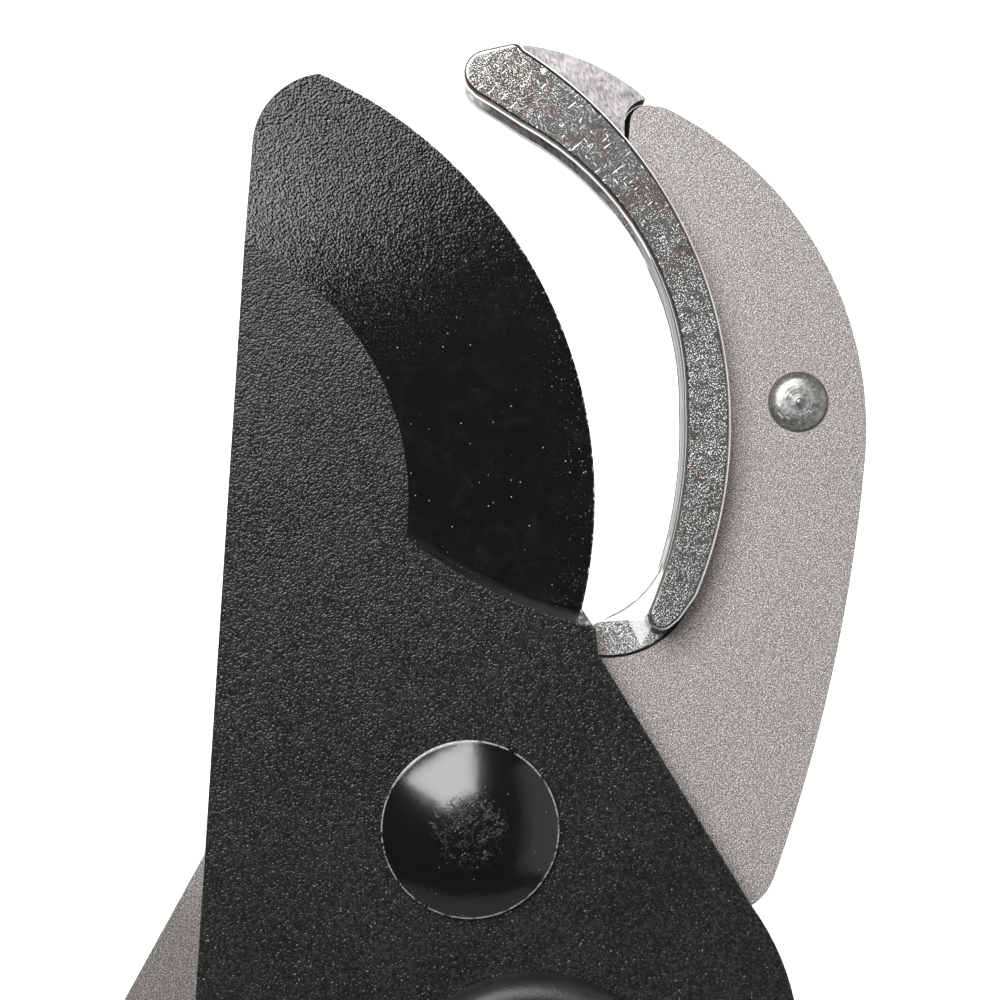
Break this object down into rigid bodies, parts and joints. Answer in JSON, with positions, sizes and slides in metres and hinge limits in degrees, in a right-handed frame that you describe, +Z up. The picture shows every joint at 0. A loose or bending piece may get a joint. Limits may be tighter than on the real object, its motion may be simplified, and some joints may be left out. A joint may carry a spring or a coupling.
{
  "type": "anvil lopper",
  "caption": "Geared anvil lopper lying flat: curved black blade, hooked grey plate with a chromed anvil, two long tube handles with ribbed grips.",
  "frame": {"origin": "main pivot axis at the flat end of the pivot nut, on the plane the lopper lies on", "axes": "+Z up out of the blade's front face, along the pivot; +Y from the handles to the tip of the blade; +X from the blade's back to the anvil"},
  "size_m": [0.4685, 0.7888, 0.0279],
  "materials": {
    "plate_steel": "shot-blasted silver grey steel with fine grain",
    "chrome": "polished with fine wear marks",
    "rivet_steel": "turned head",
    "black_steel": "gloss black with a worn bright rim",
    "washer_steel": "zinc plated",
    "nut_steel": "zinc plated",
    "blade_coating": "satin black non-stick coating with fine grain",
    "bronze": "plain bearing bronze",
    "socket_black": "fine-grained black",
    "rubber": "soft matt",
    "tube_paint": "satin dark grey",
    "grip_black": "soft matt with ribs",
    "cap_grey": "matt grey"
  },
  "bodies": {
    "anvil_side": {"anvil_plate": "plate_steel", "anvil_insert": "chrome", "anvil_rivet": "rivet_steel", "pivot_bolt": "black_steel", "pivot_shim": "washer_steel", "pivot_lock_washer": "washer_steel", "pivot_nut": "nut_steel", "left_socket_front": "socket_black", "left_socket_back": "socket_black", "left_screw": "nut_steel", "left_rivets": "rivet_steel", "left_bumper": "rubber", "left_tube": "tube_paint", "left_grip": "grip_black", "left_end_cap": "cap_grey"},
    "blade": {"blade": "blade_coating", "pivot_bush": "bronze"},
    "gear_handle": {"gear_plate": "plate_steel", "hub_pin": "nut_steel", "hub_shim": "washer_steel", "hub_nut": "nut_steel", "right_socket_front": "socket_black", "right_socket_back": "socket_black", "right_screw": "nut_steel", "right_rivets": "rivet_steel", "right_bumper": "rubber", "right_tube": "tube_paint", "right_grip": "grip_black", "right_end_cap": "cap_grey"}
  },
  "joints": [
    {"name": "blade_pivot", "type": "hinge", "parent": "anvil_side", "child": "blade", "pos_m": [0, 0, 0.014], "axis": [0, 0, 1], "range_deg": [-13.6, 32]},
    {"name": "hub_hinge", "type": "hinge", "parent": "blade", "child": "gear_handle", "pos_m": [0.00839, -0.03911, 0.014], "axis": [0, 0, 1], "range_deg": [-13.6, 32]}
  ],
  "couplings": [
    {"joint": "hub_hinge", "follows": "blade_pivot", "ratio": 1}
  ]
}
